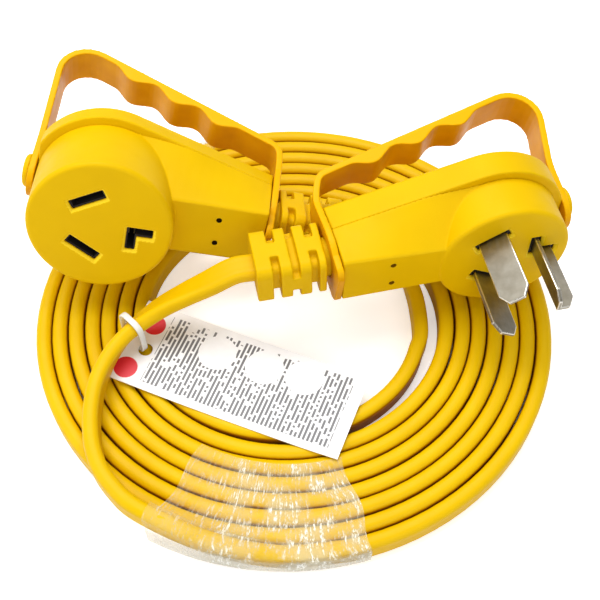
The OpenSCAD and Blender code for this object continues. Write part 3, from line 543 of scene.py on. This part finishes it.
def make_tag():
    """A card with a hole, on rings from the hole's rim to the card's edge.  A ring's point lies
    on the straight line from rim to edge, at the ring's share to the power 1.6; then x and y
    turn in the plane by TAG_TURN, and z is tag_height, with TAG_T added for the upper side."""
    rows, cols, ring = 72, 30, 40
    corners = np.array([(0, 0), (TAG_LEN, 0), (TAG_LEN, TAG_W), (0, TAG_W)], float)
    edge = np.vstack([p + (q - p) * np.arange(n)[:, None] / n for p, q, n in
                      zip(corners, np.roll(corners, -1, axis=0), (rows, cols, rows, cols))])
    hole = np.array(TAG_HOLE)
    angle = np.arctan2(edge[:, 1] - hole[1], edge[:, 0] - hole[0])
    inner = hole + HOLE_R * np.column_stack([np.cos(angle), np.sin(angle)])
    share = (np.arange(ring + 1) / ring) ** 1.6
    flat = inner + (edge - inner) * share[:, None, None]
    c, s = math.cos(TAG_TURN), math.sin(TAG_TURN)
    x, y = flat[..., 0], flat[..., 1]
    layers = [np.stack([TAG_AT[0] + x * c - y * s, TAG_AT[1] + x * s + y * c,
                        tag_height(x) + lift], -1) for lift in (TAG_T, 0.0)]
    n = len(edge)
    size = (ring + 1) * n
    top = grid_faces(ring + 1, n, closed=True)
    rim, after = np.arange(n), (np.arange(n) + 1) % n
    a, b = ring * n + rim, ring * n + after
    walls = np.column_stack([rim, after, after + size, rim + size, b, a, a + size, b + size])
    faces = np.vstack([top[:, ::-1], top + size, walls.reshape(-1, 4)])
    tag = new_piece("hang_tag", np.reshape(layers, (-1, 3)) * MM, faces, smooth=False)
    set_uv(tag, "sheet", np.concatenate([flat.reshape(-1, 2)] * 2) * MM)
    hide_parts("paper_tag")
    return tag


def make_tie():
    """A thin strap on a rounded loop that stands across the cable, closed on itself.  A point
    is the loop's point, plus the section's first value times the loop's outward direction, plus
    its second value across the loop."""
    c, s = math.cos(TIE_TURN), math.sin(TIE_TURN)
    across, along, up = np.array([(c, s, 0), (-s, c, 0), (0, 0, 1)])
    x, z, nx, nz = corner_arcs(*TIE_SIZE, TIE_CORNER, 9).reshape(-1, 4).T[..., None]
    section = [(-0.5, -1.3), (0.5, -1.3), (0.62, -1.1), (0.62, 1.1), (0.5, 1.3), (-0.5, 1.3)]
    p, q = np.array(section).T[:, None]
    points = (np.array(TIE_AT) + along * (x + nx * p)[..., None] + across * q[..., None]
              + up * (z + nz * p)[..., None])
    n, m = points.shape[:2]
    faces = grid_faces(n + 1, m, closed=True) % (n * m)
    tie = new_piece("tie_strap", points.reshape(-1, 3) * MM, faces)
    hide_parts("tag_tie")
    return tie


# ---- clear tape ------------------------------------------------------------------------------
TAPE_LIFT = 0.28  # of the film over the turns' tops


def wrinkle(u, v, seed):
    """Wrinkles between -1 and 1: the mean of nine sine waves.  Each has its own direction and
    pitch from 2.5 to 9 mm, and its phase swings by 1.5 times a slower sine of v."""
    rng = np.random.default_rng(seed)
    total = np.zeros_like(u)
    for _ in range(9):
        angle = rng.uniform(-0.5, 0.5)
        pitch = rng.uniform(2.5, 9)
        total += np.sin(2 * np.pi * (u * np.cos(angle) + v * np.sin(angle)) / pitch
                        + rng.uniform(0, 7) + 1.5 * np.sin(v / rng.uniform(4, 12)))
    return total / 9


def make_tape(name, node, start, end, inner, tops, seed):
    """Film over the coil from turn start to turn end.  Each row runs outwards from radius inner
    at the height of the turns' tops, steps up to tops(a) on the outermost turn and hangs down
    outside it.  To the height are added TAPE_LIFT, less half of a sag of 0.35 mm that follows
    half of one less the cosine from turn to turn, and wrinkles times 0.16 mm; where the film
    hangs, wrinkles times 0.15 mm go to the radius.  It stays 0.6 mm off the ground.  Both ends
    are ragged: the angle shifts by 0.012 times a sine of the radius, times the cube of the way
    from the middle to the end."""
    rows, cols = 90, 110
    points = []
    for i in range(rows):
        a = start + (end - start) * i / (rows - 1)
        outer = coil_radius(a) + CABLE_T / 2
        top = tops(a)
        step_top = max(top, CABLE_W + 0.3)
        edge = outer - CABLE_T - 0.75
        profile = np.array([(inner, CABLE_W), (edge, CABLE_W), (edge + 0.3, step_top),
                            (outer + 0.3, step_top), (outer + 0.75, top - 1.2),
                            (outer + 0.9, 1.2)])
        run = np.concatenate([[0], np.cumsum(np.linalg.norm(np.diff(profile, axis=0), axis=1))])
        at_run = np.linspace(0, run[-1], cols)
        r = np.interp(at_run, run, profile[:, 0])
        z = np.interp(at_run, run, profile[:, 1])
        arc = np.full(cols, a * 2 * np.pi * 100)
        w = wrinkle(arc, at_run, seed)
        phase = (r - (outer - CABLE_T / 2)) / PITCH
        sag = 0.35 * (1 - np.cos(2 * np.pi * phase)) / 2 * (r < edge)
        z = np.maximum(z + TAPE_LIFT + 0.16 * w - sag * 0.5, 0.6)
        r = r + np.where(at_run > run[3], 0.15 * w, 0)
        ragged = 0.012 * np.sin(r * 0.21 + seed) * abs(2 * i / (rows - 1) - 1) ** 3
        t = 2 * math.pi * a + ragged
        points.append(np.stack([COIL_X + r * np.cos(t), COIL_Y - r * np.sin(t), z], -1))
    tape = new_piece(name, np.concatenate(points) * MM, grid_faces(rows, cols))
    i, j = np.divmod(np.arange(rows * cols), cols)
    set_uv(tape, "film", np.stack([i / (rows - 1), j / (cols - 1)], -1))
    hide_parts(node)
    return tape


# ---- build the pieces ------------------------------------------------------------------------
cable, centreline = make_cable()
shells, reliefs = [], []
for side, word, place in (("plug", "plug", PLUG), ("socket", "connector", SOCKET)):
    shells += [
        moulded(word + "_front_cover", side + "_front_shell", voxel=0.45, passes=2, keep=0.4,
                even=place.on_tail_side),
        moulded(word + "_rear_cover", side + "_rear_shell"),
    ]
    reliefs += [moulded(word + "_relief", side + "_strain_relief", voxel=0.5)]
# marks where light is painted on the lips of the holes in the round faces
mark(shells[0], "lip", PLUG.on_lip)
mark(shells[2], "lip", SOCKET.on_lip)
rivets = [
    moulded("plug_rivet", "plug_handle_rivet", voxel=0.4),
    moulded("connector_rivet", "socket_handle_rivet", voxel=0.4),
]
handles = [
    moulded("plug_pull", "plug_handle", "plug_pull_handle", voxel=0.5),
    moulded("connector_pull", "socket_handle", "connector_pull_handle", voxel=0.5),
]
blades = [bevelled(node.replace("plug_", "plug_plated_"), node)
          for node in ("plug_line_blade_upper", "plug_line_blade_lower", "plug_neutral_blade")]
# marks the narrow sides of the handles for a painted light
for piece in handles:
    mark(piece, "rim", painted_rim_light_mask)
tag = make_tag()
tie = make_tie()
front_tape = make_tape("clear_tape_front", "front_tape", 0.203, 0.329, 76,
                       lambda a: climb(a) + CABLE_W / 2, 3)
rear_tape = make_tape("clear_tape_rear", "rear_tape", -0.358, -0.308, 64,
                      lambda a: CABLE_W, 8)

# ---- materials -------------------------------------------------------------------------------
PIN_R = 1.4 * MM
housing = plastic("moulded_yellow", (0.74, 0.462, 0.0), (0.71, 0.437, 0.0), 0.45, 900, 0.12, 0.07)
# a lighter colour painted on the hole lips, as light falling on them
housing.tint("lip", (0.93, 0.66, 0.02))
# painted shade: dark spots where the pin holes in the tails' fronts are, lighter on the plug
housing.spots(PLUG.pin_holes(), PIN_R, (0.22, 0.1, 0.0))
housing.spots(SOCKET.pin_holes(), PIN_R, (0.02, 0.008, 0.0))
housing.wear(shells + reliefs + rivets)
handle = plastic("handle_yellow", (0.76, 0.365, 0.0), (0.64, 0.28, 0.0), 0.36, 700, 0.08, 0.08)
# a lighter colour painted on the handles' narrow sides, as light falling on them
handle.tint("rim", (0.79, 0.425, 0.0))
handle.wear(handles)
jacket = plastic("cable_jacket", (0.76, 0.482, 0.0), (0.73, 0.452, 0.0), 0.4, 500, 0.1, 0.12)
# painted shade on the cable's wide flat sides, darkest in the grooves between turns
jacket.tint("painted_flank_shade", (0.42, 0.16, 0.0))
jacket.wear([cable])
plastic("black_moulding", (0.018, 0.016, 0.017), (0.03, 0.027, 0.028), 0.5, 800, 0.2).wear(
    [NODES["plug_blade_carrier"], NODES["socket_contact_carrier"]])
plastic("red_insulation", (0.4, 0.03, 0.02), (0.35, 0.025, 0.02), 0.45, 700, 0.1).wear(
    [NODES["plug_line_wires"], NODES["socket_line_wires"]])
plastic("white_insulation", (0.8, 0.78, 0.74), (0.74, 0.72, 0.68), 0.45, 700, 0.1).wear(
    [NODES["plug_neutral_wire"], NODES["socket_neutral_wire"]])
plate = metal("nickel_plate", (0.33, 0.305, 0.25), (0.25, 0.225, 0.175), 0.36, (1, 0.06, 1))
# a lighter copy of the plating: painted highlight on the blades' bevelled edges
edge_highlight = metal("painted_highlight_nickel_edge", (0.72, 0.69, 0.62), (0.6, 0.56, 0.5), 0.26, (1, 0.06, 1))
for piece in blades:
    piece.data.materials[0] = plate.material
    piece.data.materials[1] = edge_highlight.material
metal("spring_brass", (0.72, 0.55, 0.28), (0.6, 0.44, 0.2), 0.3, (1, 1, 0.2)).wear(
    [NODES[n] for n in ("plug_terminals", "socket_terminals", "socket_line_contact_upper",
                        "socket_line_contact_lower", "socket_neutral_contact")])
LINE_PITCH, LETTER_PITCH = 0.0019, 0.0011  # of the card's ruled lines and their pieces


def card():
    """White card with broken ruled lines that run across it, blank patches among them, and two
    red spots near the tie.  Its u and v are metres from the tied end and from a long side."""
    s = Shader("white_card")
    _, u, v = s.uv("sheet")

    def between(value, low, high):
        return s.product(s.math("GREATER_THAN", value, low), s.math("LESS_THAN", value, high))

    def disc(x, y, radius):
        far = s.math("ADD", s.math("POWER", s.math("SUBTRACT", u, x), 2.0),
                     s.math("POWER", s.math("SUBTRACT", v, y), 2.0))
        return s.math("LESS_THAN", far, radius ** 2)

    def random(value):
        node = s.add("ShaderNodeTexWhiteNoise", noise_dimensions="1D")
        s.link(value, node.inputs["W"])
        return node.outputs["Value"]

    row = s.product(u, 1 / LINE_PITCH)
    number = s.math("FLOOR", row)
    line = between(s.math("FRACT", row), 0.2, 0.76)
    shift = s.product(random(number), 5.0)
    word = s.math("FLOOR", s.math("ADD", s.product(v, 1 / LETTER_PITCH), shift))
    chance = random(s.math("ADD", word, s.product(number, 57.0)))
    end = s.span(random(s.math("ADD", number, 0.5)), 0, 1, 0.030, 0.056)
    ink = s.product(line, s.math("GREATER_THAN", chance, 0.2), between(u, 0.0145, 0.1015),
                    between(v, 0.0035, s.math("MINIMUM", end, 0.0385)))
    for x, y in ((0.0398, 0.0290), (0.0619, 0.0300), (0.0802, 0.0315)):
        ink = s.product(ink, s.math("SUBTRACT", 1.0, disc(x, y, 0.0085)))
    grain = s.span(s.noise(260, 3), 0.3, 0.7, 0, 1)
    paper = s.mix(grain, (0.93, 0.935, 0.95), (0.88, 0.885, 0.9))
    lined = s.mix(s.product(ink, 0.88), paper, (0.03, 0.03, 0.035))
    spots = s.math("MAXIMUM", disc(0.0059, 0.0070, 0.0052), disc(0.0082, 0.0312, 0.0050))
    s.feed(Base_Color=s.mix(spots, lined, (0.72, 0.012, 0.03)))
    s.set(Roughness=0.42)
    s.bump(s.noise(1500, 2), 0.05, 0.0001)
    return s


def nylon():
    """Natural nylon: milky and part see-through."""
    s = Shader("natural_nylon")
    clouds = s.span(s.noise(200), 0.3, 0.7, 0, 1)
    s.feed(Base_Color=s.mix(clouds, (0.9, 0.9, 0.86), (0.82, 0.83, 0.8)))
    s.set(Roughness=0.25, Alpha=0.8)
    s.bump(s.noise(900, 2), 0.06, 0.0001)
    return s


def film():
    """Clear film: see-through, with a milky veil in clouds and bright narrow streaks of painted
    highlight that run across the coil where the film is drawn over the turns, and folded double
    where it hangs."""
    s = Shader("clear_film")
    sheet, u, v = s.uv("film")
    middle = s.span(u, 0.6, 0.86, 1, 0.25)
    hang = s.span(v, 0.8, 0.85, 0, 1)
    puffs = s.noise(3.5, 3, (1.5, 1.2, 1), 0.5, sheet)
    cloud = s.product(s.span(puffs, 0.36, 0.6, 0, 1), middle)
    streak = s.noise(9, 5, (6.0, 0.8, 1), 0.6, sheet)
    fine = s.noise(26, 5, (4.0, 1.0, 1), 0.6, sheet)
    # glint: painted highlights on the film's wrinkles, white and nearly opaque
    glint = s.product(s.span(streak, 0.49, 0.57, 0, 1), s.span(fine, 0.44, 0.56, 0.05, 1),
                      s.span(cloud, 0, 1, 0.12, 1))
    veil = s.math("ADD", s.span(cloud, 0, 1, 0.06, 0.4), s.product(hang, 0.4))
    milk = s.mix(hang, (0.92, 0.84, 0.52), (0.62, 0.58, 0.44))
    s.feed(Alpha=s.math("MINIMUM", s.math("ADD", veil, s.product(glint, 0.8)), 1.0),
           Base_Color=s.mix(glint, milk, (1.0, 1.0, 0.96)))
    s.set(Roughness=0.16, IOR=1.5)
    s.bump(s.math("ADD", streak, s.product(fine, 0.4)), 0.8, 0.0014)
    return s


card().wear([tag])
nylon().wear([tie])
film().wear([front_tape, rear_tape])

# ---- floor -----------------------------------------------------------------------------------
BARE_IN, BARE_OUT = 0.071, 0.1125  # the floor glows inside the first radius and past the second
floor = new_piece("floor", [(-6, -6, 0), (6, -6, 0), (6, 6, 0), (-6, 6, 0)], [(0, 1, 2, 3)], None)


def floor_paint():
    """White paint that glows a little where the camera sees it, but not under the coil."""
    s = Shader("floor_paint")
    rays = s.add("ShaderNodeLightPath")
    far = s.add("ShaderNodeVectorMath", operation="DISTANCE")
    far.inputs[1].default_value = (COIL_X * MM, COIL_Y * MM, 0)
    s.link(s.place, far.inputs[0])
    bare = s.math("ADD", s.math("LESS_THAN", far.outputs["Value"], BARE_IN),
                  s.math("GREATER_THAN", far.outputs["Value"], BARE_OUT))
    glow = s.product(bare, 0.45)
    s.feed(Base_Color=s.mix(s.noise(2), (1, 1, 1), (0.985, 0.985, 0.985)),
           Emission_Strength=s.product(rays.outputs["Is Camera Ray"], glow))
    s.set(Roughness=0.9, Specular_IOR_Level=0.1, Emission_Color=(1, 1, 1, 1))
    return s


floor_paint().wear([floor])


# ---- light and camera ------------------------------------------------------------------------
def lamp(name, place, aim, size, energy):
    """A square area lamp at a place, aimed at a point."""
    data = bpy.data.lights.new(name, "AREA")
    data.size = size
    data.energy = energy
    item = bpy.data.objects.new(name, data)
    bpy.context.scene.collection.objects.link(item)
    item.location = place
    way = np.array(aim, float) - np.array(place, float)
    yaw = math.atan2(way[0], -way[1])
    pitch = math.atan2(math.hypot(way[0], way[1]), -way[2])
    item.rotation_euler = (pitch, 0, yaw + math.pi)


lamp("top_light", (-0.15, 0.35, 1.1), (0, 0, 0), 0.9, 12.8)
lamp("front_fill", (0.3, -1.1, 0.8), (0, 0, 0.03), 1.0, 5.5)
lamp("left_fill", (-1.1, -0.3, 0.7), (0, 0, 0.03), 0.8, 4)

world = bpy.data.worlds.new("studio")
bpy.context.scene.world = world
world.use_nodes = True
sky = world.node_tree.nodes["Background"]
sky.inputs["Color"].default_value = (1, 1, 1, 1)
sight = world.node_tree.nodes.new("ShaderNodeLightPath")
white = world.node_tree.nodes.new("ShaderNodeMapRange")
white.inputs["To Min"].default_value = 0.45
white.inputs["To Max"].default_value = 1.0
world.node_tree.links.new(sight.outputs["Is Camera Ray"], white.inputs["Value"])
world.node_tree.links.new(white.outputs["Result"], sky.inputs["Strength"])

CAMERA_DIP = 56.17  # degrees that the camera looks down
camera = bpy.data.objects.new("camera", bpy.data.cameras.new("camera"))
bpy.context.scene.collection.objects.link(camera)
camera.data.sensor_width = 36
camera.data.lens = 58.8
camera.location = (0.0017, -0.2431, 0.3868)
camera.rotation_euler = (math.radians(90 - CAMERA_DIP), 0, 0)
camera.data.clip_start = 0.01
bpy.context.scene.camera = camera
bpy.context.scene.view_settings.view_transform = "Standard"
